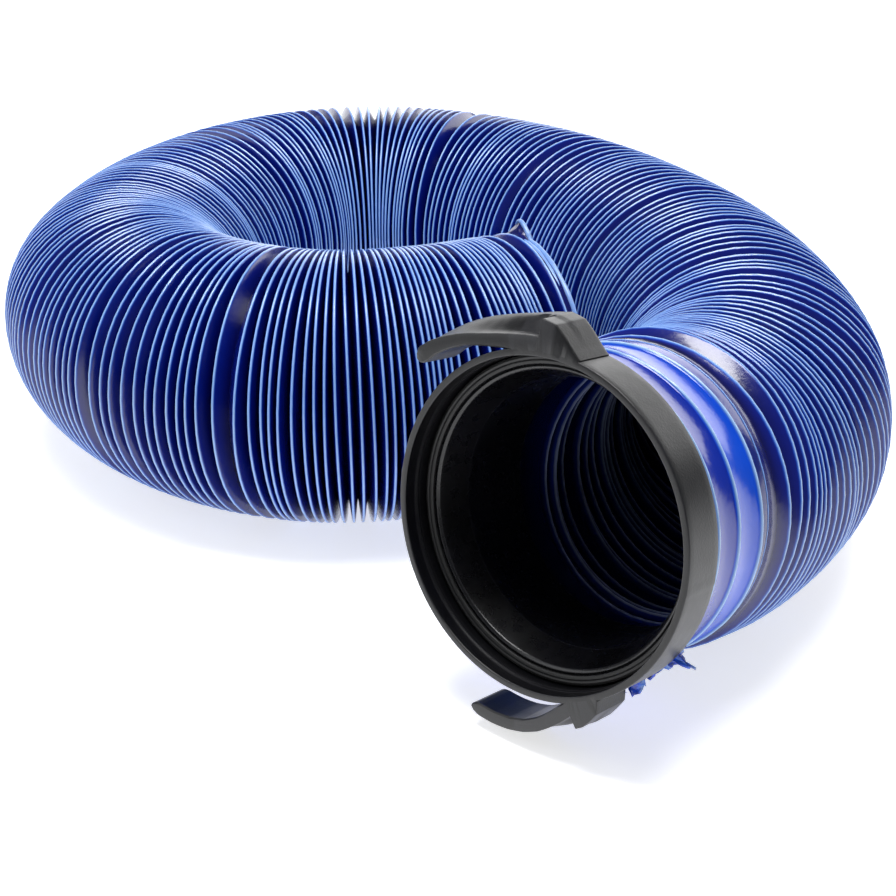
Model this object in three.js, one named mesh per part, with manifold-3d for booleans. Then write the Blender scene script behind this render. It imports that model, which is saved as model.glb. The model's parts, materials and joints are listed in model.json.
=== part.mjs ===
// Collapsed drain hose with a twist-lock bayonet fitting, lying in one open loop.
// Millimetres, +Z up. The origin is the middle of the footprint, on the ground.
// The fitting's mouth faces -Y and looks up a little, because a hook arm props it up.

import * as THREE from 'three';
import { mergeVertices } from 'three/addons/utils/BufferGeometryUtils.js';
import Module from 'manifold-3d';

const wasm = await Module();
wasm.setup();

// ---- driving dimensions -------------------------------------------------------------

const GAP = 0.3;                 // air between pieces that touch
const ROUND = 60;                // segments round the fitting

const FITTING = {
  x: 157, y: -148, z: 67,        // middle of the ring's front rim
  tilt: 9.25,                    // degrees that the mouth looks up
};

const RING = {
  outer: 50.7, inner: 48.6,      // wall of the bayonet ring
  depth: 14.3,                   // front rim to back edge
  lip: 45.5, lipFront: 11.7,     // inward lip that catches the adapter's flange
  bead: 47.8, beadAt: 5.2,       // snap bead that keeps the flange in
};

const ADAPTER = {
  flange: 48.2, front: 9.8, back: 11.4,
  mouth: 44.6, bore: 40.2,       // tapered mouth
  mouthAt: 9.2, boreAt: 19.4,
  neck: 45.1, sleeve: 43.0,      // outside of the sleeve
  end: 45,                       // how far the sleeve reaches into the hose
  barb: 44.9, barbs: 5, barbFrom: 16, barbPitch: 5.2,
};

const GASKET = { inner: 45.6, outer: 47.3, front: 6.8 };

const CUFF = { inner: 45.3, skin: 47.4, band: 48.6, from: 14.7, to: 45.7, bands: 3 };

// Each hook arm leaves a block on the ring, runs round it and ends in a free tip.
// Angles are degrees round the mouth, from its right side, seen from the front.
const ARMS = [
  { block: 85, blockEnd: 97, root: 107, tip: 142 },
  { block: 302, blockEnd: 292, root: 290, tip: 259 },
];
const ARM = {
  lift: 9.1,                     // air between the ring and the tip
  front: 4.5, back: 8.2,         // thickness at the front and at the back edge
  tipBack: 5.4,                  // thickness of the back edge at the tip
  blockHeight: 60, recess: 54.6, // radii of the block's top and of the step beside it
  recessDepth: 6,
};

const HOSE = { outer: 50, inner: 42, sides: 12, steps: 80 };

// The middle line of the hose, from the cuff round to the free end.
const ROUTE = [
  [157, -102.1, 59.5], [157, -96.2, 58.5], [156.6, -85.5, 55.8], [155.8, -75, 53],
  [154.6, -61, 50.9], [152.6, -44, 50], [148.8, -26, 50], [141, -8, 50], [129.5, 10, 50],
  [102.5, 39, 50], [70, 65, 50], [34, 85, 50], [-5, 100, 50], [-45, 107.5, 50], [-85.5, 105, 50],
  [-121.5, 89.5, 50], [-146, 59.5, 50], [-153, 20, 50], [-146, -19, 50], [-129, -55.5, 50],
  [-103, -87.5, 50], [-65.5, -103.5, 50], [-23, -104.5, 50], [13, -89.5, 50],
  [37.5, -60.5, 50], [53.5, -26, 50],
];

const WIRE = { radius: 1.2, coil: 47.6, pitch: 2.8, turns: 1.1, tail: 14 };

// ---- materials ----------------------------------------------------------------------

function material(color, roughness) {
  return new THREE.MeshStandardMaterial({ color, roughness, metalness: 0 });
}
const blackPlastic = material(0x0b0b0d, 0.35);
const blackRubber = material(0x161618, 0.6);
const blueVinyl = material(0x1446c8, 0.25);
const paleVinyl = material(0x4f80e0, 0.25);

// ---- helpers ------------------------------------------------------------------------

const rad = THREE.MathUtils.degToRad;

// A point beside the fitting: radius, angle round the mouth, depth behind the front rim.
function polar(radius, degrees, depth) {
  const a = rad(degrees);
  return new THREE.Vector3(radius * Math.cos(a), depth, radius * Math.sin(a));
}

// A closed profile of [radius, depth] points turned round the fitting's axis.
function turned(profile) {
  const points = [...profile, profile[0]].map(([r, d]) => new THREE.Vector2(r, d));
  return outward(new THREE.LatheGeometry(points, ROUND));
}

function volume(geometry) {
  const p = geometry.attributes.position;
  const index = geometry.index.array;
  const [a, b, c] = [new THREE.Vector3(), new THREE.Vector3(), new THREE.Vector3()];
  let sum = 0;
  for (let i = 0; i < index.length; i += 3) {
    a.fromBufferAttribute(p, index[i]);
    b.fromBufferAttribute(p, index[i + 1]);
    c.fromBufferAttribute(p, index[i + 2]);
    sum += a.dot(b.cross(c)) / 6;
  }
  return sum;
}

// Shared vertices merged, and the faces turned so that they point out.
function outward(geometry) {
  geometry.deleteAttribute('normal');
  geometry.deleteAttribute('uv');
  const merged = mergeVertices(geometry, 1e-4);
  if (volume(merged) < 0) {
    const index = merged.index.array;
    for (let i = 0; i < index.length; i += 3) {
      [index[i + 1], index[i + 2]] = [index[i + 2], index[i + 1]];
    }
  }
  merged.computeVertexNormals();
  return merged;
}

// A closed skin through rings of points that all have the same count.
function lofted(rings) {
  const count = rings[0].length;
  const positions = rings.flat().flatMap((v) => [v.x, v.y, v.z]);
  const index = [];
  for (let i = 0; i + 1 < rings.length; i += 1) {
    for (let j = 0; j < count; j += 1) {
      const a = i * count + j;
      const b = i * count + ((j + 1) % count);
      index.push(a, b, a + count, b, b + count, a + count);
    }
  }
  const last = (rings.length - 1) * count;
  for (let j = 1; j + 1 < count; j += 1) {
    index.push(0, j + 1, j, last, last + j, last + j + 1);
  }
  const geometry = new THREE.BufferGeometry();
  geometry.setAttribute('position', new THREE.Float32BufferAttribute(positions, 3));
  geometry.setIndex(index);
  return outward(geometry);
}

function toSolid(geometry) {
  return new wasm.Manifold(new wasm.Mesh({
    numProp: 3,
    vertProperties: new Float32Array(geometry.attributes.position.array),
    triVerts: new Uint32Array(geometry.index.array),
  }));
}

function fromSolid(solid) {
  const mesh = solid.getMesh();
  const geometry = new THREE.BufferGeometry();
  geometry.setAttribute('position', new THREE.BufferAttribute(mesh.vertProperties, 3));
  geometry.setIndex(new THREE.BufferAttribute(mesh.triVerts, 1));
  geometry.computeVertexNormals();
  return geometry;
}

function smooth(x) {
  const t = THREE.MathUtils.clamp(x, 0, 1);
  return t * t * (3 - 2 * t);
}

function piece(name, geometry, finish) {
  const mesh = new THREE.Mesh(geometry, finish);
  mesh.name = name;
  return mesh;
}

// ---- the fitting --------------------------------------------------------------------

function ringBody() {
  return turned([
    [RING.outer, 0], [RING.outer, RING.depth], [RING.lip, RING.depth],
    [RING.lip, RING.lipFront], [RING.inner, RING.lipFront],
    [RING.inner, RING.beadAt + 1], [RING.bead, RING.beadAt],
    [RING.inner, RING.beadAt - 1], [RING.inner, 0],
  ]);
}

// One section of an arm: [inner, outer at the front, outer at the back] radii.
function armSection(arm, degrees) {
  const along = (from, to) => (degrees - from) / (to - from);
  const buried = RING.outer - 1;
  if (along(arm.block, arm.blockEnd) <= 1) {
    return [buried, ARM.blockHeight, ARM.blockHeight];
  }
  const rise = smooth(along(arm.root, arm.tip));
  const inner = rise > 0 ? RING.outer + ARM.lift * rise : buried;
  const base = RING.outer + ARM.lift * rise;
  const back = THREE.MathUtils.lerp(ARM.back, ARM.tipBack, rise);
  return [inner, base + ARM.front, base + back];
}

function hookArm(arm) {
  const step = Math.sign(arm.tip - arm.block) * 2.5;
  const stops = [arm.block, arm.blockEnd, arm.blockEnd + 0.2 * step];
  for (let a = arm.root; (arm.tip - a) * step > 0; a += step) stops.push(a);
  stops.push(arm.tip);
  const rings = stops.map((degrees) => {
    const [inner, front, back] = armSection(arm, degrees);
    return [
      polar(inner, degrees, 0), polar(front, degrees, 0),
      polar((front + back) / 2, degrees, ARM.recessDepth), polar(back, degrees, RING.depth),
      polar(inner, degrees, RING.depth),
    ];
  });
  return lofted(rings);
}

// The outer face of the arm is stepped down beside the block, at the front only.
function armRecess(arm) {
  const side = Math.sign(arm.tip - arm.block);
  const stops = [arm.blockEnd, arm.blockEnd + side * 6, arm.blockEnd + side * 12];
  const rings = stops.map((degrees, i) => {
    const floor = ARM.recess + i * 0.2;
    const depth = ARM.recessDepth * (1 - 0.42 * i);
    return [
      polar(floor, degrees, -1), polar(ARM.blockHeight + 8, degrees, -1),
      polar(ARM.blockHeight + 8, degrees, depth), polar(floor, degrees, depth),
    ];
  });
  return lofted(rings);
}

function bayonetRing() {
  let solid = toSolid(ringBody());
  for (const arm of ARMS) {
    solid = solid.add(toSolid(hookArm(arm)).subtract(toSolid(armRecess(arm))));
  }
  return fromSolid(solid);
}

function hoseAdapter() {
  const profile = [
    [ADAPTER.mouth, ADAPTER.mouthAt], [ADAPTER.neck, ADAPTER.mouthAt],
    [ADAPTER.neck, ADAPTER.front], [ADAPTER.flange, ADAPTER.front],
    [ADAPTER.flange, ADAPTER.back], [ADAPTER.neck, ADAPTER.back],
    [ADAPTER.neck - 0.4, ADAPTER.barbFrom - 1], [ADAPTER.sleeve, ADAPTER.barbFrom - 0.5],
  ];
  for (let i = 0; i < ADAPTER.barbs; i += 1) {
    const d = ADAPTER.barbFrom + i * ADAPTER.barbPitch;
    profile.push([ADAPTER.sleeve, d + 0.6], [ADAPTER.barb, d + 1.6]);
    profile.push([ADAPTER.barb, d + 2.2], [ADAPTER.sleeve, d + 4]);
  }
  profile.push([ADAPTER.sleeve, ADAPTER.end - 1], [ADAPTER.sleeve - 1, ADAPTER.end]);
  profile.push([ADAPTER.bore, ADAPTER.end], [ADAPTER.bore, ADAPTER.boreAt]);
  return turned(profile);
}

function faceGasket() {
  const back = ADAPTER.front - GAP;
  const waist = (GASKET.inner + GASKET.outer) / 2;
  return turned([
    [GASKET.inner, back], [GASKET.inner, GASKET.front + 0.4],
    [waist - 0.5, GASKET.front], [waist, GASKET.front + 0.6], [waist + 0.5, GASKET.front],
    [GASKET.outer, GASKET.front + 0.4], [GASKET.outer, back],
  ]);
}

// Smooth film stretched over the sleeve's thread, with a band over each thread.
function hoseCuff() {
  const profile = [[CUFF.inner, CUFF.from], [CUFF.skin, CUFF.from]];
  const pitch = (CUFF.to - CUFF.from) / CUFF.bands;
  for (let i = 0; i < CUFF.bands; i += 1) {
    const d = CUFF.from + (i + 0.5) * pitch;
    profile.push([CUFF.skin, d - 1.2], [CUFF.band, d], [CUFF.skin, d + 1.2]);
  }
  profile.push([CUFF.skin, CUFF.to], [CUFF.inner, CUFF.to]);
  return turned(profile);
}

// The trimmed end of the film sticks out behind the ring, low on the right.
function filmScraps() {
  const from = 296;
  const heights = [0.4, 4.6, 1.6, 5.4, 2.2, 1.2, 3.9, 0.8, 4.2, 6.0, 2.4, 0.5];
  const rings = heights.map((height, i) => {
    const degrees = from + i * 3;
    const top = CUFF.band + 0.4 + height;
    const back = RING.depth + 1.4 + (i % 3) * 0.5;
    return [
      polar(CUFF.band + GAP, degrees, back), polar(top, degrees + 0.7, back + 1.2),
      polar(top, degrees + 0.7, back + 1.9), polar(CUFF.band + GAP, degrees, back + 0.7),
    ];
  });
  return lofted(rings);
}

function fitting() {
  const group = new THREE.Group();
  group.add(
    piece('bayonet_ring', bayonetRing(), blackPlastic),
    piece('hose_adapter', hoseAdapter(), blackPlastic),
    piece('face_gasket', faceGasket(), blackRubber),
    piece('hose_cuff', hoseCuff(), paleVinyl),
    piece('film_scraps', filmScraps(), blueVinyl),
  );
  group.position.set(FITTING.x, FITTING.y, FITTING.z);
  group.rotation.x = -rad(FITTING.tilt);
  return group;
}

// ---- the hose -----------------------------------------------------------------------

const route = new THREE.CatmullRomCurve3(
  ROUTE.map(([x, y, z]) => new THREE.Vector3(x, y, z)), false, 'centripetal');

// Which way is up in the section of the level stretch.
const level = route.computeFrenetFrames(HOSE.steps, false);
const upAngle = Math.atan2(level.binormals[HOSE.steps].z, level.normals[HOSE.steps].z);

// A many-sided circle with flat sides below and above.
function circlePath(target, radius) {
  const corner = radius / Math.cos(Math.PI / HOSE.sides);
  for (let i = 0; i < HOSE.sides; i += 1) {
    const a = upAngle + (2 * Math.PI * (i + 0.5)) / HOSE.sides;
    const move = i === 0 ? 'moveTo' : 'lineTo';
    target[move](corner * Math.cos(a), corner * Math.sin(a));
  }
  target.closePath();
  return target;
}

function hoseFilm() {
  const section = circlePath(new THREE.Shape(), HOSE.outer);
  section.holes.push(circlePath(new THREE.Path(), HOSE.inner));
  return outward(new THREE.ExtrudeGeometry(section, {
    steps: HOSE.steps, extrudePath: route, bevelEnabled: false,
  }));
}

// The spring wire's last turn stands clear of the film at the free end, then curls away.
function hoseWire() {
  const end = route.getPointAt(1);
  const out = route.getTangentAt(1);
  const up = new THREE.Vector3(0, 0, 1);
  const left = up.clone().cross(out).normalize();
  const points = [];
  const count = 40;
  for (let i = 0; i <= count; i += 1) {
    const turn = (WIRE.turns * i) / count;
    const a = 2 * Math.PI * (turn - WIRE.turns + 0.25);
    const ahead = WIRE.radius + GAP + WIRE.pitch * turn;
    const p = end.clone().addScaledVector(out, ahead);
    p.addScaledVector(left, -WIRE.coil * Math.cos(a));
    p.addScaledVector(up, WIRE.coil * Math.sin(a));
    points.push(p);
  }
  const last = points[points.length - 1];
  const along = last.clone().sub(points[points.length - 2]).normalize();
  for (let i = 1; i <= 3; i += 1) {
    const reach = (WIRE.tail * i) / 3;
    points.push(last.clone().addScaledVector(along, reach).addScaledVector(up, 0.01 * reach * reach));
  }
  const section = new THREE.Shape().absarc(0, 0, WIRE.radius, 0, 2 * Math.PI);
  return outward(new THREE.ExtrudeGeometry(section, {
    steps: 60, curveSegments: 4, extrudePath: new THREE.CatmullRomCurve3(points), bevelEnabled: false,
  }));
}

const hoseKit = new THREE.Group();
hoseKit.add(
  fitting(),
  piece('hose_film', hoseFilm(), blueVinyl),
  piece('hose_wire', hoseWire(), paleVinyl),
);

export default hoseKit;
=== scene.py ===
"""A collapsed drain hose with a twist-lock bayonet fitting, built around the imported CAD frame.

Everything lies in the frame's own coordinates. The object's dimensions are named in millimetres
at the top and turned into metres by MM where they are used; the camera, the lights and the floor
are in metres.
"""
import json
import math

import bpy
import numpy as np
from mathutils import Matrix, Vector


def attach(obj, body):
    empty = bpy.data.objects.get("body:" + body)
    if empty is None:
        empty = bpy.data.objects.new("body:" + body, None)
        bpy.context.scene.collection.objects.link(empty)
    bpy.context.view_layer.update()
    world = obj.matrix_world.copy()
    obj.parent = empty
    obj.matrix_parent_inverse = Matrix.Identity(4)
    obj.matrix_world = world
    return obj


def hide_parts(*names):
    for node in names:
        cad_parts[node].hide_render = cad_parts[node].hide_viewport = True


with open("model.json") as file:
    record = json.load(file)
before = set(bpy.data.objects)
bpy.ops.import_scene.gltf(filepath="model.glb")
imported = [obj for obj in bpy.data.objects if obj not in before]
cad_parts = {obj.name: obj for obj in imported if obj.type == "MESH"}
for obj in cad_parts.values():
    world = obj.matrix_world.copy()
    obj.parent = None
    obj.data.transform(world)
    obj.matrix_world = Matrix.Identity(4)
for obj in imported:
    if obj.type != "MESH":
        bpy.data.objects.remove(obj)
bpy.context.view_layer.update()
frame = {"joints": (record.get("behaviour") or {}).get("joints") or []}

MM = 0.001

# ---- driving dimensions, in millimetres ------------------------------------------------

# The middle line of the hose, from the cuff round to the free end (the CAD model's route).
ROUTE = [
    (157, -102.1, 59.5), (157, -96.2, 58.5), (156.6, -85.5, 55.8), (155.8, -75, 53),
    (154.6, -61, 50.9), (152.6, -44, 50), (148.8, -26, 50), (141, -8, 50), (129.5, 10, 50),
    (102.5, 39, 50), (70, 65, 50), (34, 85, 50), (-5, 100, 50), (-45, 107.5, 50), (-85.5, 105, 50),
    (-121.5, 89.5, 50), (-146, 59.5, 50), (-153, 20, 50), (-146, -19, 50), (-129, -55.5, 50),
    (-103, -87.5, 50), (-65.5, -103.5, 50), (-23, -104.5, 50), (13, -89.5, 50),
    (37.5, -60.5, 50), (53.5, -26, 50),
]
HOSE_OUTER = 49.9          # radius over the wire
CUFF_RADIUS = 47.4         # radius where the hose leaves the cuff
BEAD = 0.62                # radius of the wire in its film
FILM = 0.25                # thickness of the film
COLUMNS = 56               # points round the hose
SIDE_SMOOTHING = 9.0       # length over which the section's direction is evened out
# The fold between two turns: its depth at the usual gap, and how that falls as the gap widens.
FOLD = {"depth": 9.2, "usual_gap": 3.0, "loss": 0.75, "shallowest": 3.6, "deepest": 9.6}
# How unevenly the folds are made: shares of their depth, its limits, and a share of the gap.
UNEVEN_FOLD = {"turn": 0.07, "wave": 0.03, "waves": 3, "least": 0.85, "most": 1.12, "sway": 0.1}
# The widest folds get a higher mark, so less painted shade at their bottoms.
DEEPEST_MARK = 0.3         # ridge mark at the bottom of the widest folds
MARK_GAP = 8.0             # how much wider than usual a gap is for a whole mark
NARROW_BEAD = 0.42         # most that a bead's radius may be, as a share of the gap
FLAT_WIRE = 0.42           # share of the bead's radius over which the film lies level on the wire

# Where the first turns of the wire lie beyond the cuff: (turns, arc position).
FIRST_TURNS = [(-1, 0), (0, 0.2), (0.5, 8.2), (1, 11.4), (2, 15.2)]
# Distance between turns of the wire along the middle line: (arc position, pitch).
PITCH = [(0, 3.6), (40, 4.4), (80, 4.7), (110, 4.4), (230, 4.4), (300, 4.7), (330, 4.0), (420, 4.0),
         (440, 5.0), (480, 4.6), (520, 3.6), (560, 3.3), (620, 3.6), (680, 3.6), (715, 2.9), (750, 2.2),
         (805, 2.3)]
# How unevenly the turns lie, in shares of the pitch, with the odds of a wide gap.
SPACING = {"turn": 0.22, "drift": 0.35, "carry": 0.75, "wide_odds": 0.05, "wide": 0.8, "wider": 0.7,
           "least": 0.5, "most": 2.4}
# How far a turn leans along the hose, once and twice round, as shares of the pitch.
LEAN = {"once": 0.15, "twice": 0.05, "most": 0.26}
LAST_GAP = 9.0             # from the last turn but one to the free end, on the left side

RING = {"outer": 50.7, "inner": 48.6, "depth": 14.3, "lip": 45.5, "lip_front": 11.7,
        "bead": 48.2, "bead_at": 5.2}
# The mould's seam on the ring: where it lies, its half width in degrees, and its height.
PARTING = {"degrees": (358.1, 178.1), "half_width": 0.5, "height": 0.16}
ADAPTER = {"mouth": 43.5, "lip": 44.3, "neck": 45.1, "flange": 48.2, "front": 9.8, "back": 11.4,
           "mouth_at": 9.2, "bore": 40.2, "bore_at": 19.4, "sleeve": 43.0, "sleeve_at": 15.5, "end": 45.0}
GASKET = {"inner": 45.2, "outer": 48.0, "front": 8.4, "back": 9.6}
# The cuff's film: how far it swells over the wire, sags between turns and flares at its end.
CUFF = {"start": 14.7, "end": 46.2, "skin": 47.0, "inner": 45.4, "rows": 110, "wire_reach": 0.5,
        "swell": 0.8, "sag": 0.5, "flare": 0.5, "flare_from": 38, "flare_over": 8}
# Depth of the wire under the cuff's film after each half turn, from the mouth's left side.
CUFF_WIRE = [(0, 15.5), (0.5, 20.4), (1, 26), (1.5, 31.2), (2, 36.5), (2.5, 43.0), (3, 46.4)]

# Painted light on the film between the turns, as paler bands of painted reflection and darker bands of
# painted shade: (turns of wire passed from the front, mark).
CUFF_TONES = [(0, 0.38), (0.7, 0.38), (1.3, 0.08), (2.0, 0.1), (2.4, 0.2), (3.0, 0.2), (3.4, 0.0),
              (5, 0.0)]
SEGMENTS = 192             # points round the adapter, the seal and the cuff
RING_SEGMENTS = 240        # points round the ring

ARM_ROOT = 49.6            # inner radius of an arm's block, inside the ring's wall
# Each arm: where its block ends, which way round it runs from there (1 is leftward over the top),
# and its stops: (degrees round the mouth, inner radius, outer radius at the front, and at the back).
ARMS = {
    "upper_arm": {"block_end": 97.4, "runs": 1, "stops": [
        (82, ARM_ROOT, 51, 51), (85, ARM_ROOT, 52.8, 52.8), (92, ARM_ROOT, 58.2, 58.4),
        (96.4, ARM_ROOT, 59.2, 59.6), (97.4, ARM_ROOT, 54.2, 59.4), (106, ARM_ROOT, 54.6, 59),
        (110, 50.6, 55, 59.2), (116, 52, 56, 60), (120, 53.2, 57, 60.8), (126, 55.2, 59, 62.2),
        (132, 56.8, 61, 63.6), (137, 57.9, 62.6, 64.6), (141, 58.4, 63.4, 65.3),
        (142.6, 58.9, 62.6, 64.6), (143.4, 59.8, 61.6, 63),
    ]},
    "lower_arm": {"block_end": 292.6, "runs": -1, "stops": [
        (304.5, ARM_ROOT, 51, 51), (302.5, ARM_ROOT, 54.5, 54.5), (296, ARM_ROOT, 57.6, 58),
        (293.6, ARM_ROOT, 58, 58.6), (292.6, ARM_ROOT, 54.3, 57.6), (288, 51.6, 56.6, 59),
        (284, 53.8, 58.6, 60.6), (280, 56, 60.6, 62), (275, 58.2, 62.4, 63.6), (270, 59.5, 63.6, 64.4),
        (265, 60.3, 64.4, 65), (260, 60.8, 64.8, 65.2), (258.2, 61.4, 64.4, 64.8), (257.2, 62.4, 63.6, 64),
    ]},
}
ARM_STEP = 0.9             # degrees between an arm's sections
ARM_CUT = 0.45             # how far its corners are cut
HARD_EDGE = 34             # degrees between faces from which the ring's edges look hard
# The step in an arm's outer face: sharp beside the block, and wider for each degree past it.
RECESS = {"depth": 6.5, "sharp": 1.2, "widening": 0.55, "widest": 13, "shift": 0.07}

# The wire's last turn at the free end, and its tail: length, rise, and turn of the film beside it.
END_WIRE = {"radius": 48.2, "ahead": 1.3, "pitch": 2.0, "turns": 1.1, "tail": 15, "rise": 5.2,
            "lean": 0.3, "steps": 150, "tail_steps": 30}
# Radius of the wrapped wire, how lumpy it is, and how it thins at its two ends; its mark paints a
# highlight on it.
WRAP = {"radius": 0.95, "lumps": 0.08, "waves": (140, 31), "rough": 0.03, "tip": 0.35, "tip_from": 0.9,
        "root": 0.6, "root_over": 0.03, "mark": 0.95}
# The flap of film beside the wire: where it starts, its points across, ripples, and ridge mark, which
# picks its painted light.
FLAP = {"start": 0.3, "across": 9, "ripple": 0.5, "waves": (5, 60), "mark": 0.36}
# Film ends behind the ring: how far they reach at even steps round the mouth.
SCRAPS = {"degrees": (294, 333), "radius": 47.3, "depth": 15.2, "columns": 90, "rows": 12,
          "heights": [2.0, 6.4, 3.2, 7.2, 3.4, 2.6, 5.4, 2.4, 6.8, 8.2, 4.6, 1.6],
          "frayed": 0.5, "outward": 2.6, "crumpled": 0.25, "curl": 0.22, "lean": 1.6, "crest": 1.7}
# Folds of the film ends: height of each wave, and how fast it runs round the mouth and outward.
SCRAP_FOLDS = ((1.1, 1.35, 2.2), (0.6, 3.1, -4))

# ---- camera, floor and lights, in metres --------------------------------------------------

CAMERA = {"azimuth": 41.43, "elevation": 25.66, "place": (0.3865, -0.4443, 0.2716), "lens": 61.25}
FLOOR_SIZE = 16.0
FLOOR_STOPS = [(0.3, (0.86, 0.87, 0.89)), (0.7, (0.9, 0.905, 0.92))]
# Each soft light: place, point that it faces, width and height, power, colour.
LIGHTS = {
    "softbox_above": ((0.05, -0.1, 1.25), (0, 0, 0), (0.8, 0.5), 20, (1, 1, 1)),
    "softbox_behind": ((-0.3, 2.1, 0.8), (0, 0, 0.1), (2.9, 0.95), 24, (1, 1, 1)),
    "softbox_low": ((-1.9, 1.3, 0.45), (0, 0, 0.08), (1.7, 0.7), 6, (1, 1, 1)),
    "softbox_left": ((-0.9, -1.0, 0.8), (0, 0, 0.05), (0.9, 1.1), 6, (0.95, 0.97, 1)),
}
WORLD = {"color": (0.93, 0.96, 1.0, 1), "strength": 0.14}

# ---- the fitting's own axes, from the joint that the ring turns on -----------------------

turn_joint = next(j for j in frame["joints"] if j["name"] == "ring_turn")
MOUTH = Vector(turn_joint["pos_m"])
OUT_OF_MOUTH = Vector(turn_joint["axis"]).normalized()
RIGHT = Vector((1, 0, 0))
INWARD = -OUT_OF_MOUTH
UP_IN_FACE = RIGHT.cross(INWARD)
# Turns the fitting's right, inward and upward directions into the row frame's.
TO_ROW = np.array(Matrix((RIGHT, INWARD, UP_IN_FACE)).transposed())


def beside_mouth(radius, degrees, depth):
    """Points of the fitting, from millimetres round its axis to metres in the row frame."""
    a = np.radians(degrees)
    radius, a, depth = np.broadcast_arrays(radius, a, depth)
    local = np.stack([radius * np.cos(a), depth, radius * np.sin(a)], -1) * MM
    return local @ TO_ROW.T + np.array(MOUTH)


# ---- mesh helpers -----------------------------------------------------------------------

def smoothstep(x):
    t = np.clip(x, 0, 1)
    return t * t * (3 - 2 * t)


def mesh_object(name, points, faces, marks=None):
    """A smooth-shaded mesh; marks holds one number a point for each named attribute."""
    mesh = bpy.data.meshes.new(name)
    mesh.from_pydata(np.asarray(points, float).reshape(-1, 3).tolist(), [], faces)
    for key, values in (marks or {}).items():
        layer = mesh.attributes.new(key, "FLOAT", "POINT")
        layer.data.foreach_set("value", np.asarray(values, np.float32).ravel())
    mesh.validate()
    mesh.shade_smooth()
    made = bpy.data.objects.new(name, mesh)
    bpy.context.scene.collection.objects.link(made)
    return made


def grid_faces(rows, columns, close_rows=False, close_columns=True, first=0):
    """Quads of a grid of points, row by row."""
    across = columns if close_columns else columns - 1
    down = rows if close_rows else rows - 1
    i = np.repeat(np.arange(down), across)
    j = np.tile(np.arange(across), down)
    i2, j2 = (i + 1) % rows, (j + 1) % columns
    quads = np.stack([i * columns + j, i * columns + j2, i2 * columns + j2, i2 * columns + j], -1)
    return (quads + first).tolist()


def rounded(profile, radius, steps=3):
    """A closed profile with each corner turned into a small arc, and a mark of 1 on the arcs, where a
    highlight is painted.
    """
    points, marks = [], []
    count = len(profile)
    for i in range(count):
        before, here, after = (np.array(profile[(i + k) % count], float) for k in (-1, 0, 1))
        toward, onward = before - here, after - here
        reach = min(radius, 0.4 * np.linalg.norm(toward), 0.4 * np.linalg.norm(onward))
        start = here + toward / np.linalg.norm(toward) * reach
        stop = here + onward / np.linalg.norm(onward) * reach
        for k in range(steps + 1):
            t = k / steps
            points.append((1 - t) ** 2 * start + 2 * t * (1 - t) * here + t * t * stop)
            marks.append(1.0 if 0 < k < steps else 0.0)
    return np.array(points), np.array(marks)


def split_long(points, marks, longest=2.2):
    """More points on the long sides of a closed profile."""
    out, kept = [], []
    for i in range(len(points)):
        a, b = points[i], points[(i + 1) % len(points)]
        parts = max(1, int(np.ceil(np.linalg.norm(b - a) / longest)))
        for k in range(parts):
            out.append(a + (b - a) * k / parts)
            kept.append(marks[i] if k == 0 else 0.0)
    return np.array(out), np.array(kept)


def turned(name, profile, segments, radius, bump=None):
    """A closed profile of (radius, depth) turned round the fitting's axis, its corners rounded."""
    points, marks = split_long(*rounded(profile, radius))
    degrees = np.arange(segments) * 360 / segments
    radii, turns = np.meshgrid(points[:, 0], degrees, indexing="ij")
    depths = np.repeat(points[:, 1][:, None], segments, 1)
    if bump is not None:
        radii = radii + bump(radii, turns)
    placed = beside_mouth(radii, turns, depths)
    faces = grid_faces(len(points), segments, close_rows=True)
    edge = np.repeat(marks[:, None], segments, 1)
    made = mesh_object(name, placed, faces, {"edge": edge})
    point_outward(made)
    return made


def point_outward(made):
    """Faces turned so that the closed mesh has a positive volume."""
    mesh = made.data
    co = np.zeros(len(mesh.vertices) * 3)
    mesh.vertices.foreach_get("co", co)
    co = co.reshape(-1, 3)
    mesh.calc_loop_triangles()
    tri = np.zeros(len(mesh.loop_triangles) * 3, int)
    mesh.loop_triangles.foreach_get("vertices", tri)
    a, b, c = (co[tri.reshape(-1, 3)[:, k]] for k in range(3))
    if np.einsum("ij,ij->i", a, np.cross(b, c)).sum() < 0:
        mesh.flip_normals()


def union(target, *others):
    """The other closed meshes joined into the target, with its hard edges marked sharp."""
    for other in others:
        step = target.modifiers.new("join", "BOOLEAN")
        step.operation, step.solver, step.object = "UNION", "EXACT", other
    depsgraph = bpy.context.evaluated_depsgraph_get()
    joined = bpy.data.meshes.new_from_object(target.evaluated_get(depsgraph))
    target.modifiers.clear()
    joined.shade_smooth()
    joined.set_sharp_from_angle(angle=math.radians(HARD_EDGE))
    target.data = joined
    for other in others:
        bpy.data.objects.remove(other)


# ---- the hose's middle line --------------------------------------------------------------

def centripetal(points, per_span=60):
    """Points on the centripetal Catmull-Rom curve through the route."""
    p = np.array(points, float)
    p = np.vstack([2 * p[0] - p[1], p, 2 * p[-1] - p[-2]])
    t = np.linspace(0, 1, per_span, endpoint=False)[:, None]
    out = []
    for a, b, c, d in zip(p, p[1:], p[2:], p[3:]):
        ab, bc, cd = (math.sqrt(np.linalg.norm(v)) for v in (b - a, c - b, d - c))
        start = ((b - a) / ab - (c - a) / (ab + bc) + (c - b) / bc) * bc
        stop = ((c - b) / bc - (d - b) / (bc + cd) + (d - c) / cd) * bc
        square = -3 * b + 3 * c - 2 * start - stop
        cube = 2 * b - 2 * c + start + stop
        out.append(b + start * t + square * t ** 2 + cube * t ** 3)
    out.append(p[-2][None])
    return np.vstack(out)


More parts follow.
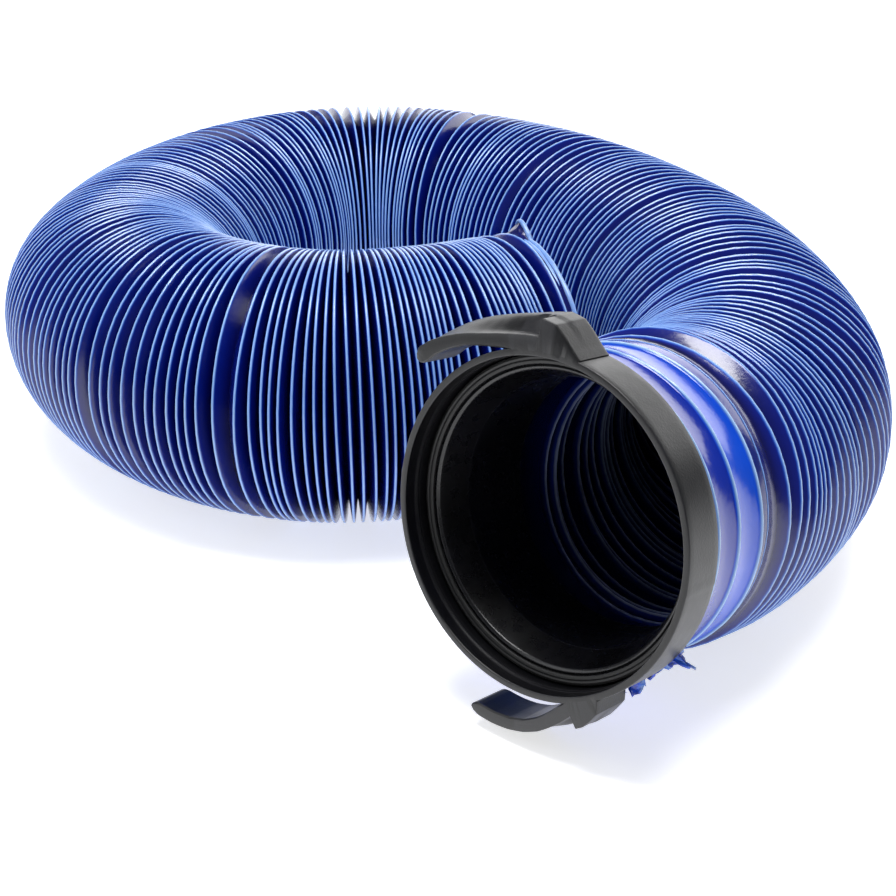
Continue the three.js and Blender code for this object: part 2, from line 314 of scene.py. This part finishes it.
class MiddleLine:
    """The middle line by arc length, with smoothly turning side and up directions."""

    def __init__(self, points, step=0.25):
        dense = centripetal(points)
        along = np.concatenate([[0], np.cumsum(np.linalg.norm(np.diff(dense, axis=0), axis=1))])
        self.length = along[-1]
        self.at = np.linspace(0, self.length, int(self.length / step) + 1)
        self.step = self.at[1]
        self.place = np.stack([np.interp(self.at, along, dense[:, k]) for k in range(3)], -1)
        tangent = np.gradient(self.place, self.at, axis=0)
        tangent = self.evened(tangent)
        self.tangent = tangent / np.linalg.norm(tangent, axis=1)[:, None]
        side = np.cross([0, 0, 1], self.tangent)
        self.side = side / np.linalg.norm(side, axis=1)[:, None]
        self.up = np.cross(self.tangent, self.side)
        turning = np.gradient(self.tangent, self.at, axis=0)
        self.curve = np.einsum("ij,ij->i", turning, self.side)

    def evened(self, values):
        reach = int(SIDE_SMOOTHING / self.step)
        weights = np.hanning(2 * reach + 3)[1:-1]
        weights /= weights.sum()
        padded = np.concatenate([
            2 * values[0] - values[reach:0:-1], values, 2 * values[-1] - values[-2:-reach - 2:-1]])
        return np.stack([np.convolve(padded[:, k], weights, "valid") for k in range(3)], -1)

    def point(self, s, radius, angle):
        """Points at arc position s, radius and angle (radians from the left side, upward)."""
        def read(table):
            return np.stack([self.reading(s, table[:, k]) for k in range(3)], -1)
        out = radius[..., None] * (np.cos(angle)[..., None] * read(self.side)
                                   + np.sin(angle)[..., None] * read(self.up))
        return (read(self.place) + out) * MM

    def reading(self, s, column):
        return np.interp(s, self.at, column)

    def squeeze(self, s, angle):
        """How much shorter than the middle line the hose is at its outer radius."""
        return np.clip(1 - HOSE_OUTER * self.reading(s, self.curve) * np.cos(angle), 0.1, 2.0)


line = MiddleLine(ROUTE)


# ---- camera -----------------------------------------------------------------------------

def make_camera():
    data = bpy.data.cameras.new("camera")
    data.lens = CAMERA["lens"]
    data.sensor_width = 36
    data.clip_start, data.clip_end = 0.01, 50
    camera = bpy.data.objects.new("camera", data)
    camera.location = CAMERA["place"]
    tilt = math.radians(90 - CAMERA["elevation"])
    camera.rotation_euler = (tilt, 0, math.radians(CAMERA["azimuth"]))
    bpy.context.scene.collection.objects.link(camera)
    bpy.context.scene.camera = camera


# ---- the pleated hose --------------------------------------------------------------------

def wire_places(rng):
    """Turns and arc positions along the wire, unevenly spaced and fitted to the hose's length."""
    v = SPACING
    turns, places = (list(c) for c in zip(*FIRST_TURNS))
    drift = 0.0
    while places[-1] < line.length - LAST_GAP:
        drift = v["carry"] * drift + (1 - v["carry"]) * rng.normal()
        uneven = 1 + v["turn"] * rng.normal() + v["drift"] * drift
        if rng.random() < v["wide_odds"]:
            uneven += v["wide"] + v["wider"] * rng.random()
        pitch = np.interp(places[-1], *zip(*PITCH))
        places.append(places[-1] + pitch * float(np.clip(uneven, v["least"], v["most"])))
        turns.append(turns[-1] + 1)
    turns, places = np.array(turns, float), np.array(places)
    late = places > places[len(FIRST_TURNS) - 1]
    start = places[len(FIRST_TURNS) - 1]
    end = line.length - BEAD - 0.1
    places[late] = start + (places[late] - start) * (end - LAST_GAP - start) / (places[-1] - start)
    return np.append(turns, turns[-1] + 1), np.append(places, end)


def wire_lean(rng, turns, angle):
    """How far each turn of wire leans along the hose at each angle, as a share of the pitch."""
    def soft(amount):
        """A random amount for each turn, that follows the turn before it a little."""
        values = rng.normal(size=turns)
        return amount * (0.6 * values + 0.4 * np.roll(values, 1))[:, None]
    once, twice = LEAN["once"], LEAN["twice"]
    lean = soft(once) * np.cos(angle) + soft(once) * np.sin(angle)
    lean = lean + soft(twice) * np.cos(2 * angle) + soft(twice) * np.sin(2 * angle)
    return np.clip(lean, -LEAN["most"], LEAN["most"])


def make_hose():
    """One helical sheet of film: a bead over every turn of wire and a deep fold between turns."""
    rng = np.random.default_rng(11)
    turns_at, places = wire_places(rng)
    last_turn = int(turns_at[-1])
    angle = 2 * math.pi * np.arange(COLUMNS + 1) / COLUMNS
    share = np.arange(COLUMNS + 1) / COLUMNS
    # wire[k, j] is where turn k - 1 of the wire crosses column j
    turn = np.arange(-1, last_turn + 1)
    u = np.minimum(turn[:, None] + share[None, :], last_turn)
    wire = np.interp(u, turns_at, places)
    pitch = np.interp(u, turns_at, np.gradient(places, turns_at))
    onward = smoothstep(share)[None, :]

    def carried(values):
        """Each turn's value passing smoothly into the next turn's along the wire."""
        return values[:-1] * (1 - onward) + values[1:] * onward

    lean = carried(wire_lean(rng, len(turn) + 1, angle[None, :]))
    # the first and the last turns stand straight
    settled = smoothstep((u - 1) / 3) * smoothstep((last_turn - u) / 3)
    wire = np.maximum.accumulate(wire + lean * pitch * settled, axis=0)

    # the hose widens from the cuff to its full size within the first turn
    swell = smoothstep(u / 0.6)
    crest = CUFF_RADIUS + (HOSE_OUTER - CUFF_RADIUS) * swell
    left, right = wire[:-1], wire[1:]
    crest_left, crest_right = crest[:-1], crest[1:]
    middle = (left + right) / 2
    tight = line.squeeze(middle, angle[None, :])
    gap = np.maximum((right - left) * tight, 0.02)
    bead = np.minimum(BEAD, NARROW_BEAD * gap)
    reach = bead / tight
    f, v = FOLD, UNEVEN_FOLD
    uneven = 1 + v["turn"] * carried(rng.normal(size=(len(turn), 1)))
    uneven = uneven + v["wave"] * np.cos(v["waves"] * angle + 1.7)
    fold = np.clip(f["depth"] - f["loss"] * (gap - f["usual_gap"]), f["shallowest"], f["deepest"])
    fold = fold * np.clip(uneven, v["least"], v["most"])
    # the first turn's fold starts almost flat, beside the cuff
    fold = 0.5 + (fold - 0.5) * smoothstep((u[:-1] + 0.9) / 1.9)
    sway = (right - left) * v["sway"] * carried(rng.normal(size=(len(turn), 1))).clip(-1.5, 1.5)
    hung = middle + sway * smoothstep(u[:-1])
    # wider gaps raise the mark at a fold's bottom: less painted shade there
    valley_mark = np.clip((gap - f["usual_gap"]) / MARK_GAP, 0, DEEPEST_MARK)
    # marks of painted light: painted highlight over the wire (1), darker down the bead's sides (0.5),
    # painted shade at the fold's bottom
    outer = sheet_rows([
        (left - FLAT_WIRE * reach * swell[:-1], crest_left, 1.0),
        (left + FLAT_WIRE * reach, crest_left, 1.0),
        (left + reach, crest_left - BEAD, 0.5),
        (hung, (crest_left + crest_right) / 2 - fold, valley_mark),
        (right - reach, crest_right - BEAD, 0.5),
    ])
    # inside, painted shade of the sleeve darkens the first turns, and the painted highlight on the rims of
    # the folds begins a little way past the sleeve
    inner = sheet_rows([
        (left, crest_left - 2 * BEAD - FILM, 0.0),
        (hung, (crest_left + crest_right) / 2 - fold - FILM, smoothstep((middle - 7) / 9)),
    ])
    return hose_mesh(outer, inner, angle)


def sheet_rows(rows):
    """Rows in order along the hose: arc positions, radii and ridge marks, and rows in a turn."""
    s = np.stack([r[0] for r in rows], 1)
    radius = np.stack([r[1] for r in rows], 1)
    mark = np.stack([np.broadcast_to(r[2], r[0].shape) for r in rows], 1)
    shape = (-1, s.shape[-1])
    return s.reshape(shape), radius.reshape(shape), mark.reshape(shape), len(rows)


def hose_mesh(outer, inner, angle):
    """Both skins of the film, each row's last column joined to its next turn, and their rims."""
    points, faces, ridge, inside = [], [], [], []
    first = 0
    edges = []
    for skin, (s, radius, mark, per_turn) in enumerate((outer, inner)):
        placed = line.point(np.clip(s, 0, line.length), radius, np.broadcast_to(angle, s.shape))
        rows = len(s)
        ids = np.arange(rows * COLUMNS).reshape(rows, COLUMNS) + first
        tail = np.arange(per_turn) + first + rows * COLUMNS
        full = np.hstack([ids, np.concatenate([ids[per_turn:, 0], tail])[:, None]])
        quads = np.stack([full[:-1, :-1], full[1:, :-1], full[1:, 1:], full[:-1, 1:]], -1)
        if skin:
            quads = quads[..., ::-1]
        faces += quads.reshape(-1, 4).tolist()
        points += [placed[:, :-1].reshape(-1, 3), placed[-per_turn:, -1]]
        ridge += [mark[:, :-1].ravel(), mark[-per_turn:, -1]]
        inside.append(np.full(rows * COLUMNS + per_turn, float(skin)))
        first += rows * COLUMNS + per_turn
        edges.append((ids[0], ids[-1]))
    # the bead round the last turn, at the free end, marked pale as a painted highlight
    end = line.length
    rim = [(end - BEAD - 0.25, HOSE_OUTER), (end - 0.35, HOSE_OUTER - 0.02),
           (end - 0.05, HOSE_OUTER - 0.5), (end, HOSE_OUTER - 1.5)]
    strips = [edges[0][1]]
    for at, radius in rim:
        points.append(line.point(np.full(COLUMNS, at), np.full(COLUMNS, radius), angle[:-1]))
        strips.append(np.arange(COLUMNS) + first)
        ridge.append(np.ones(COLUMNS))
        inside.append(np.zeros(COLUMNS))
        first += COLUMNS
    strips.append(edges[1][1])
    for a, b in zip(strips, strips[1:]):
        faces += ring_strip(a, b)
    faces += ring_strip(edges[1][0], edges[0][0])
    marks = {"ridge": np.concatenate(ridge), "inside": np.concatenate(inside)}
    hose = mesh_object("pleated_hose", np.vstack(points), faces, marks)
    crease_valleys(hose.data, marks)
    return hose


def crease_valleys(mesh, marks):
    """The edges along the bottom of each fold made sharp."""
    valley = (marks["ridge"] <= DEEPEST_MARK) & (marks["inside"] == 0)
    ends = np.zeros(len(mesh.edges) * 2, int)
    mesh.edges.foreach_get("vertices", ends)
    sharp = valley[ends.reshape(-1, 2)].all(axis=1)
    layer = mesh.attributes.new("sharp_edge", "BOOLEAN", "EDGE")
    layer.data.foreach_set("value", sharp)


def ring_strip(a, b):
    """Quads from one closed ring of points to the next."""
    return np.stack([a, b, np.roll(b, -1), np.roll(a, -1)], -1).tolist()


# ---- materials --------------------------------------------------------------------------

# Colours of the film by its ridge mark: 0 at the bottom of a fold, 1 over the wire. Light is painted into
# them: painted shade, near black, deep in the folds, and a painted highlight, pale, over the wire.
HOSE_STOPS = [(0.0, (0.0, 0.0002, 0.009)), (0.3, (0.0002, 0.0012, 0.06)), (0.5, (0.0006, 0.007, 0.17)),
              (0.75, (0.008, 0.06, 0.4)), (1.0, (0.22, 0.39, 0.76))]
# Colours of the film's inside by its mark: painted shade, near black, and a painted highlight, pale, on
# the inward rims of the folds.
INSIDE_STOPS = [(0.0, (0.0, 0.0005, 0.012)), (0.7, (0.0, 0.002, 0.06)), (0.88, (0.01, 0.03, 0.3)),
                (1.0, (0.55, 0.66, 0.95))]
# Colours of the cuff's film and the torn ends by mark: darker towards 0, and a painted highlight, pale, at
# 1.
CUFF_STOPS = [(0.0, (0.0, 0.008, 0.14)), (0.1, (0.0, 0.02, 0.34)), (0.2, (0.0, 0.06, 0.56)),
              (0.38, (0.04, 0.14, 0.52)), (1.0, (0.42, 0.62, 0.88))]
# Roughness of the film, from the bottom of a fold to the top of a ridge.
FILM_ROUGHNESS = [(0.0, (0.16, 0.16, 0.16)), (1.0, (0.26, 0.26, 0.26))]
# Colour of the painted highlight along the black parts' rounded edges.
PAINTED_EDGE_HIGHLIGHT = (0.02, 0.02, 0.024)
# Black plastics and rubber: darkest and palest colour, range of roughness, and depth of the grain.
FINISHES = {
    "satin_black": ((0.0012, 0.0012, 0.002), (0.003, 0.003, 0.0045), (0.28, 0.42), 0.12),
    "glossy_black": ((0.0015, 0.0015, 0.002), (0.004, 0.004, 0.006), (0.2, 0.36), 0.05),
    "seal_rubber": ((0.004, 0.004, 0.004), (0.008, 0.008, 0.008), (0.45, 0.6), 0.1),
}


class Nodes:
    """A material's nodes, with short ways to add and join them."""

    def __init__(self, name):
        self.material = bpy.data.materials.new(name)
        self.material.use_nodes = True
        self.tree = self.material.node_tree
        self.shader = self.tree.nodes["Principled BSDF"]

    def add(self, kind, **values):
        """A node, with values for its own settings and its inputs."""
        node = self.tree.nodes.new(kind)
        for key, value in values.items():
            if hasattr(node, key):
                setattr(node, key, value)
            else:
                node.inputs[key.replace("_", " ")].default_value = value
        return node

    def join(self, source, target):
        self.tree.links.new(source, target)

    def set(self, **values):
        """Values on the shader's own sockets."""
        for key, value in values.items():
            self.shader.inputs[key.replace("_", " ")].default_value = value

    def noise(self, scale, detail):
        """Noise in the object's own coordinates; scale counts its patches in a metre."""
        place = self.add("ShaderNodeTexCoord")
        noise = self.add("ShaderNodeTexNoise", Scale=scale, Detail=detail, Roughness=0.5)
        self.join(place.outputs["Object"], noise.inputs["Vector"])
        return noise.outputs["Fac"]

    def ramp(self, source, stops):
        ramp = self.add("ShaderNodeValToRGB")
        elements = ramp.color_ramp.elements
        while len(elements) < len(stops):
            elements.new(0.5)
        for element, (place, color) in zip(elements, stops):
            element.position = place
            element.color = (*color, 1)
        self.join(source, ramp.inputs["Fac"])
        return ramp.outputs["Color"]

    def attribute(self, name):
        return self.add("ShaderNodeAttribute", attribute_name=name).outputs["Fac"]

    def mixed(self, share, a, b, kind="MIX"):
        mix = self.add("ShaderNodeMix", data_type="RGBA", blend_type=kind)
        for socket, value in ((0, share), (6, a), (7, b)):
            if isinstance(value, (float, int)):
                mix.inputs[socket].default_value = value
            elif isinstance(value, tuple):
                mix.inputs[socket].default_value = (*value, 1)
            else:
                self.join(value, mix.inputs[socket])
        return mix.outputs[2]

    def ranged(self, source, low, high):
        """A factor of 0 to 1 stretched to run from low to high."""
        span = self.add("ShaderNodeMapRange")
        span.inputs["To Min"].default_value = low
        span.inputs["To Max"].default_value = high
        self.join(source, span.inputs["Value"])
        return span.outputs["Result"]

    def bump(self, height, strength, distance):
        bump = self.add("ShaderNodeBump", Strength=strength, Distance=distance)
        self.join(height, bump.inputs["Height"])
        self.join(bump.outputs["Normal"], self.shader.inputs["Normal"])


def film_material(name, ridge_stops):
    """Glossy vinyl film with painted light: painted shade, dark in the folds, saturated on their sides,
    and a painted highlight, pale, over the wire.
    """
    m = Nodes(name)
    # painted light: the ridge mark picks painted shade in the folds and a painted highlight over the wire
    color = m.ramp(m.attribute("ridge"), ridge_stops)
    within = m.ramp(m.attribute("ridge"), INSIDE_STOPS)
    color = m.mixed(m.attribute("inside"), color, within)
    cloud = m.ranged(m.noise(scale=38, detail=3), low=0.82, high=1.16)
    tinted = m.mixed(1.0, color, cloud, "MULTIPLY")
    m.join(tinted, m.shader.inputs["Base Color"])
    matt = m.ramp(m.attribute("ridge"), FILM_ROUGHNESS)
    grain = m.ranged(m.noise(scale=160, detail=3), low=0.8, high=1.25)
    m.join(m.mixed(1.0, matt, grain, "MULTIPLY"), m.shader.inputs["Roughness"])
    m.set(Specular_IOR_Level=0.5, Coat_Weight=0.25, Coat_Roughness=0.1)
    m.bump(m.noise(scale=520, detail=4), strength=0.12, distance=0.0006)
    return m.material


def plastic_material(name):
    """Moulded black plastic or rubber: clouded and finely grained, with a painted highlight that makes it
    paler along its rounded edges.
    """
    low, high, roughness, grain = FINISHES[name]
    m = Nodes(name)
    color = m.ramp(m.noise(scale=55, detail=4), [(0.3, low), (0.75, high)])
    # painted highlight: the rounded edges, marked 'edge', turned paler
    edge_highlight = m.mixed(m.ranged(m.attribute("edge"), low=0.0, high=0.55), color, PAINTED_EDGE_HIGHLIGHT)
    m.join(edge_highlight, m.shader.inputs["Base Color"])
    m.join(m.ranged(m.noise(scale=240, detail=3), *roughness), m.shader.inputs["Roughness"])
    m.bump(m.noise(scale=1500, detail=3), strength=grain, distance=0.0004)
    return m.material


# ---- the fitting ------------------------------------------------------------------------

def ring_profile():
    r = RING
    return [
        (r["outer"], 0), (r["outer"], r["depth"]), (r["lip"], r["depth"]),
        (r["lip"], r["lip_front"]), (r["inner"], r["lip_front"]), (r["inner"], r["bead_at"] + 1),
        (r["bead"], r["bead_at"]), (r["inner"], r["bead_at"] - 1), (r["inner"], 0),
    ]


def parting_line(radii, turns):
    """A fine raised seam of the mould across the ring's outer wall, on both sides."""
    one, other = (abs((turns - degrees + 180) % 360 - 180) for degrees in PARTING["degrees"])
    near = np.minimum(one, other)
    on_wall = radii > RING["outer"] - 0.1
    return np.where((near < PARTING["half_width"]) & on_wall, PARTING["height"], 0.0)


def arm(name):
    """A curved hook arm, lofted round the ring, with soft edges and a stepped outer face."""
    stops = np.array(ARMS[name]["stops"], float)
    stops = stops[np.argsort(stops[:, 0])]
    steps = np.arange(stops[0, 0], stops[-1, 0], ARM_STEP)
    degrees = np.unique(np.concatenate([steps, stops[:, 0]]))
    inner, front, back = (np.interp(degrees, stops[:, 0], stops[:, k]) for k in (1, 2, 3))
    past_block = ARMS[name]["runs"] * (degrees - ARMS[name]["block_end"])
    r = RECESS
    spread = np.clip(r["sharp"] + r["widening"] * np.maximum(past_block, 0), r["sharp"], r["widest"])
    across = np.linspace(0, RING["depth"], 13)
    sections, marks = [], []
    for a, r0, rf, rb, w in zip(degrees, inner, front, back, spread):
        centre = r["depth"] + (w - r["sharp"]) * r["shift"]
        top = rf + (rb - rf) * smoothstep((across - centre + w / 2) / w)
        outline = [(r0, 0)] + list(zip(top, across)) + [(r0, RING["depth"])]
        soft, mark = soft_outline(outline)
        sections.append(beside_mouth(soft[:, 0], a, soft[:, 1]))
        marks.append(mark)
    rows, columns = len(sections), len(sections[0])
    faces = grid_faces(rows, columns)
    faces.append(list(range(columns)))
    faces.append(list(range((rows - 1) * columns, rows * columns))[::-1])
    made = mesh_object(name, np.array(sections), faces, {"edge": np.array(marks)})
    point_outward(made)
    return made


def soft_outline(outline):
    """An arm's section with its corners cut a little, and a mark of 1 on its two outer corners, where a
    highlight is painted.
    """
    root = outline[0][0]
    front, (back, depth) = outline[1][0], outline[-2]
    c = min(ARM_CUT, 0.3 * max(front - root, 0.2))
    head = [(root + c, 0), (front - c, 0), (front - 0.3 * c, 0.3 * c), (front, c)]
    body = outline[2:-2]
    tail = [(back, depth - c), (back - 0.3 * c, depth - 0.3 * c), (back - c, depth),
            (root + c, depth), (root, depth - c), (root, c)]
    mark = [0, 0, 1, 0] + [0] * len(body) + [0, 1, 0, 0, 0, 0]
    return np.array(head + body + tail), np.array(mark, float)


def make_fitting():
    """The ring with its arms, the adapter that it turns on, and the seal in the mouth."""
    ring = turned("bayonet_ring_moulding", ring_profile(), RING_SEGMENTS, radius=0.4, bump=parting_line)
    union(ring, *(arm(name) for name in ARMS))
    a = ADAPTER
    adapter = turned("hose_adapter_moulding", [
        (a["mouth"], a["mouth_at"] + 0.6), (a["lip"], a["mouth_at"]), (a["neck"], a["front"]),
        (a["flange"], a["front"]), (a["flange"], a["back"]), (a["neck"], a["back"]),
        (a["sleeve"] + 0.8, a["sleeve_at"] - 0.5), (a["sleeve"], a["sleeve_at"]),
        (a["sleeve"], a["end"] - 1), (a["sleeve"] - 1, a["end"]), (a["bore"], a["end"]),
        (a["bore"], a["bore_at"]),
    ], SEGMENTS, radius=0.3)
    g = GASKET
    waist = (g["inner"] + g["outer"]) / 2
    gasket = turned("face_seal", [
        (g["inner"], g["back"]), (g["inner"], g["front"] + 0.3), (waist - 0.5, g["front"]),
        (waist, g["front"] + 0.3), (waist + 0.5, g["front"]), (g["outer"], g["front"] + 0.3),
        (g["outer"], g["back"]),
    ], SEGMENTS, radius=0.25)
    return ring, adapter, gasket


def make_cuff():
    """Film drawn tight over the sleeve, with the wire's first turns showing as pale lines of painted
    highlight.
    """
    c = CUFF
    depth = np.linspace(c["start"], c["end"], c["rows"])
    turn = np.arange(SEGMENTS) / SEGMENTS
    d, w = np.meshgrid(depth, turn, indexing="ij")
    at, places = zip(*CUFF_WIRE)
    outside = {"left": -20, "right": 80}     # before the first turn and after the last
    swell, pale, sag, passed = (np.zeros_like(d) for _ in range(4))
    for k in range(-1, math.ceil(at[-1]) + 1):
        here = np.interp(w + k, at, places, **outside)
        there = np.interp(w + k + 1, at, places, **outside)
        near = np.exp(-((d - here) / c["wire_reach"]) ** 2)
        swell += c["swell"] * near
        pale = np.maximum(pale, near)
        between = np.clip((d - here) / np.maximum(there - here, 1), 0, 1)
        sag = np.maximum(sag, np.sin(between * math.pi))
        passed = np.maximum(passed, np.where(d > here, k + w + 1, 0))
    tone = np.interp(passed, *zip(*CUFF_TONES))
    flare = c["flare"] * smoothstep((d - c["flare_from"]) / c["flare_over"])
    radius = c["skin"] + swell - c["sag"] * sag + flare
    degrees = 180 - 360 * w
    outer = beside_mouth(radius, degrees, d)
    inner = beside_mouth(c["inner"], degrees, d)[::-1]
    points = np.concatenate([outer, inner])
    # painted light: pale highlight lines over the wire, and painted reflection and shade in the bands
    # between
    shade = np.maximum(pale, tone)
    marks = {"ridge": np.concatenate([shade, np.zeros_like(pale)]), "inside": np.zeros(2 * pale.size)}
    cuff = mesh_object("film_cuff", points, grid_faces(len(points), SEGMENTS, close_rows=True), marks)
    point_outward(cuff)
    return cuff


def tube(path, radii, around=10):
    """Points of a round tube along a path in millimetres, and faces, ends closed."""
    path = np.array(path, float)
    along = np.gradient(path, axis=0)
    along /= np.linalg.norm(along, axis=1)[:, None]
    one = np.cross(along, line.tangent[-1])
    one /= np.linalg.norm(one, axis=1)[:, None]
    two = np.cross(along, one)
    a = 2 * math.pi * np.arange(around) / around
    spread = np.asarray(radii)[:, None, None]
    points = path[:, None] + spread * (np.cos(a)[None, :, None] * one[:, None]
                                       + np.sin(a)[None, :, None] * two[:, None])
    faces = grid_faces(len(path), around)
    faces.append(list(range(around))[::-1])
    faces.append(list(range((len(path) - 1) * around, len(path) * around)))
    return points.reshape(-1, 3) * MM, faces


def end_wire_path():
    """The wire's last turn, its tail curling over the hose, and the film's rim beside each point."""
    out, up = line.tangent[-1], np.array([0, 0, 1.0])
    left = np.cross(up, out)

    def round_hose(radius, angle, ahead):
        return line.place[-1] + out * ahead + radius * (up * np.sin(angle) - left * np.cos(angle))

    w = END_WIRE
    turn = np.linspace(0, w["turns"], w["steps"])[:, None]
    angle = 2 * math.pi * (turn - w["turns"] + 0.25)
    coil = round_hose(w["radius"], angle, w["ahead"] + w["pitch"] * turn)
    t = np.linspace(0, 1, w["tail_steps"])[1:, None]
    tail = coil[-1] + left * w["tail"] * t * (1 - 0.2 * t ** 2) + up * w["rise"] * np.sin(2.5 * t)
    rim = round_hose(HOSE_OUTER - 0.8, np.vstack([angle, angle[-1] + w["lean"] * t]), -0.3)
    return np.vstack([coil, tail]), rim


def make_end_wire():
    """The film-wrapped wire at the free end, and the flap of film between it and the hose."""
    rng = np.random.default_rng(5)
    path, rim = end_wire_path()
    count = len(path)
    share = np.arange(count) / (count - 1)
    w = WRAP
    fast, slow = (np.sin(share * waves) for waves in w["waves"])
    radii = w["radius"] + w["lumps"] * fast * slow + w["rough"] * rng.normal(size=count)
    radii *= 1 - w["tip"] * smoothstep((share - w["tip_from"]) / (1 - w["tip_from"]))
    radii *= w["root"] + (1 - w["root"]) * smoothstep(share / w["root_over"])
    points, faces = tube(path, radii)
    # painted highlight: the wrapped wire takes a pale mark on the film's ramp
    ridge = [np.full(len(points), w["mark"])]
    first = int(FLAP["start"] * count)
    across = np.linspace(0, 1, FLAP["across"])[None, :, None]
    sheet = path[first:, None] * (1 - across) + rim[first:, None] * across
    over, along = FLAP["waves"]
    ripple = FLAP["ripple"] * np.sin(across * over) * np.sin(share[first:, None, None] * along)
    ripple = ripple * across * (1 - across) * 4
    sheet = sheet + ripple * line.tangent[-1]
    for side in (0.0, FILM):
        placed = (sheet + side * line.tangent[-1]).reshape(-1, 3) * MM
        quads = grid_faces(len(sheet), sheet.shape[1], close_columns=False, first=len(points))
        faces += quads if side else [q[::-1] for q in quads]
        points = np.vstack([points, placed])
        ridge.append(np.full(len(placed), FLAP["mark"]))
    return mesh_object("end_turn_of_wire", points, faces,
                       {"ridge": np.concatenate(ridge), "inside": np.zeros(len(points))})


def make_scraps():
    """Crumpled ends of the film, trimmed roughly, that stick out behind the ring."""
    rng = np.random.default_rng(23)
    c = SCRAPS
    low, high = c["degrees"]
    degrees = np.linspace(low, high, c["columns"])
    rows = np.linspace(0, 1, c["rows"])
    stops = np.linspace(low, high, len(c["heights"]))
    height = np.interp(degrees, stops, c["heights"])
    height = height + c["frayed"] * np.abs(rng.normal(size=len(degrees)))
    # d is degrees round the mouth, and r runs from 0 at the film's root to 1 at its torn edge
    d, r = np.meshgrid(degrees, rows)
    fold = sum(height_of * np.sin(d * round_it + outward * r)
               for height_of, round_it, outward in SCRAP_FOLDS)
    depth = c["depth"] + c["outward"] * r + fold * r + c["crumpled"] * rng.normal(size=d.shape) * r
    radius = c["radius"] + height * r * (1 - c["curl"] * r * (1 + np.sin(d * 0.9)))
    lean = d + c["lean"] * r * np.sin(d * 0.7)
    outer = beside_mouth(radius, lean, depth)
    inner = beside_mouth(radius, lean, depth + FILM)[::-1]
    points = np.concatenate([outer, inner]).reshape(-1, 3)
    count, columns = 2 * len(rows), len(degrees)
    faces = grid_faces(count, columns, close_rows=True, close_columns=False)
    for column in (0, columns - 1):
        edge = [i * columns + column for i in range(count)]
        faces.append(edge if column else edge[::-1])
    # painted highlight: paler along the crests of the folds, most of all at the torn edge
    crease = np.clip(0.14 + 0.8 * np.maximum(fold, 0) * r / c["crest"], 0, 0.9)
    ridge = np.concatenate([crease, crease[::-1]])
    made = mesh_object("torn_film", points, faces, {"ridge": ridge, "inside": np.zeros(ridge.size)})
    point_outward(made)
    return made


# ---- stage ------------------------------------------------------------------------------

def area_light(name, place, target, size, power, color):
    data = bpy.data.lights.new(name, "AREA")
    data.shape, data.size, data.size_y = "RECTANGLE", size[0], size[1]
    data.energy, data.color = power, color
    made = bpy.data.objects.new(name, data)
    made.location = place
    made.rotation_euler = (Vector(target) - Vector(place)).to_track_quat("-Z", "Y").to_euler()
    bpy.context.scene.collection.objects.link(made)


def make_stage():
    """A pale floor, soft lights and an even sky."""
    half = FLOOR_SIZE / 2
    corners = [(-half, -half, 0), (half, -half, 0), (half, half, 0), (-half, half, 0)]
    floor = mesh_object("floor", corners, [(0, 1, 2, 3)])
    m = Nodes("pale_floor")
    color = m.ramp(m.noise(scale=3, detail=2), FLOOR_STOPS)
    m.join(color, m.shader.inputs["Base Color"])
    m.set(Roughness=0.6, Emission_Color=(1, 1, 1, 1), Emission_Strength=0.66)
    floor.data.materials.append(m.material)
    floor.location.z = -0.0002
    world = bpy.data.worlds.new("studio")
    world.use_nodes = True
    sky = world.node_tree.nodes["Background"]
    sky.inputs["Color"].default_value = WORLD["color"]
    sky.inputs["Strength"].default_value = WORLD["strength"]
    bpy.context.scene.world = world
    for name, light in LIGHTS.items():
        area_light(name, *light)
    bpy.context.scene.view_settings.view_transform = "Standard"


# ---- put together -----------------------------------------------------------------------

def main():
    make_camera()
    hose = make_hose()
    hose.data.materials.append(film_material("blue_film", HOSE_STOPS))
    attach(hose, "hose")
    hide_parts("hose_film")
    exit_point = beside_mouth(ADAPTER["sleeve"] / 2, 270, ADAPTER["end"])

    ring, adapter, gasket = make_fitting()
    for made, body, node, slot, finish in (
            (ring, "bayonet", "bayonet_ring", "black_plastic", "satin_black"),
            (adapter, "hose", "hose_adapter", "black_plastic", "glossy_black"),
            (gasket, "hose", "face_gasket", "black_rubber", "seal_rubber")):
        made.data.materials.append(plastic_material(finish))
        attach(made, body)
        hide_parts(node)
    cuff = make_cuff()
    cuff.data.materials.append(film_material("cuff_film", CUFF_STOPS))
    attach(cuff, "hose")
    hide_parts("hose_cuff")
    for made, node, slot, stops in ((make_end_wire(), "hose_wire", "pale_vinyl", HOSE_STOPS),
                                    (make_scraps(), "film_scraps", "blue_vinyl", CUFF_STOPS)):
        made.data.materials.append(film_material(made.name + "_film", stops))
        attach(made, "hose")
        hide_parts(node)
    make_stage()


main()
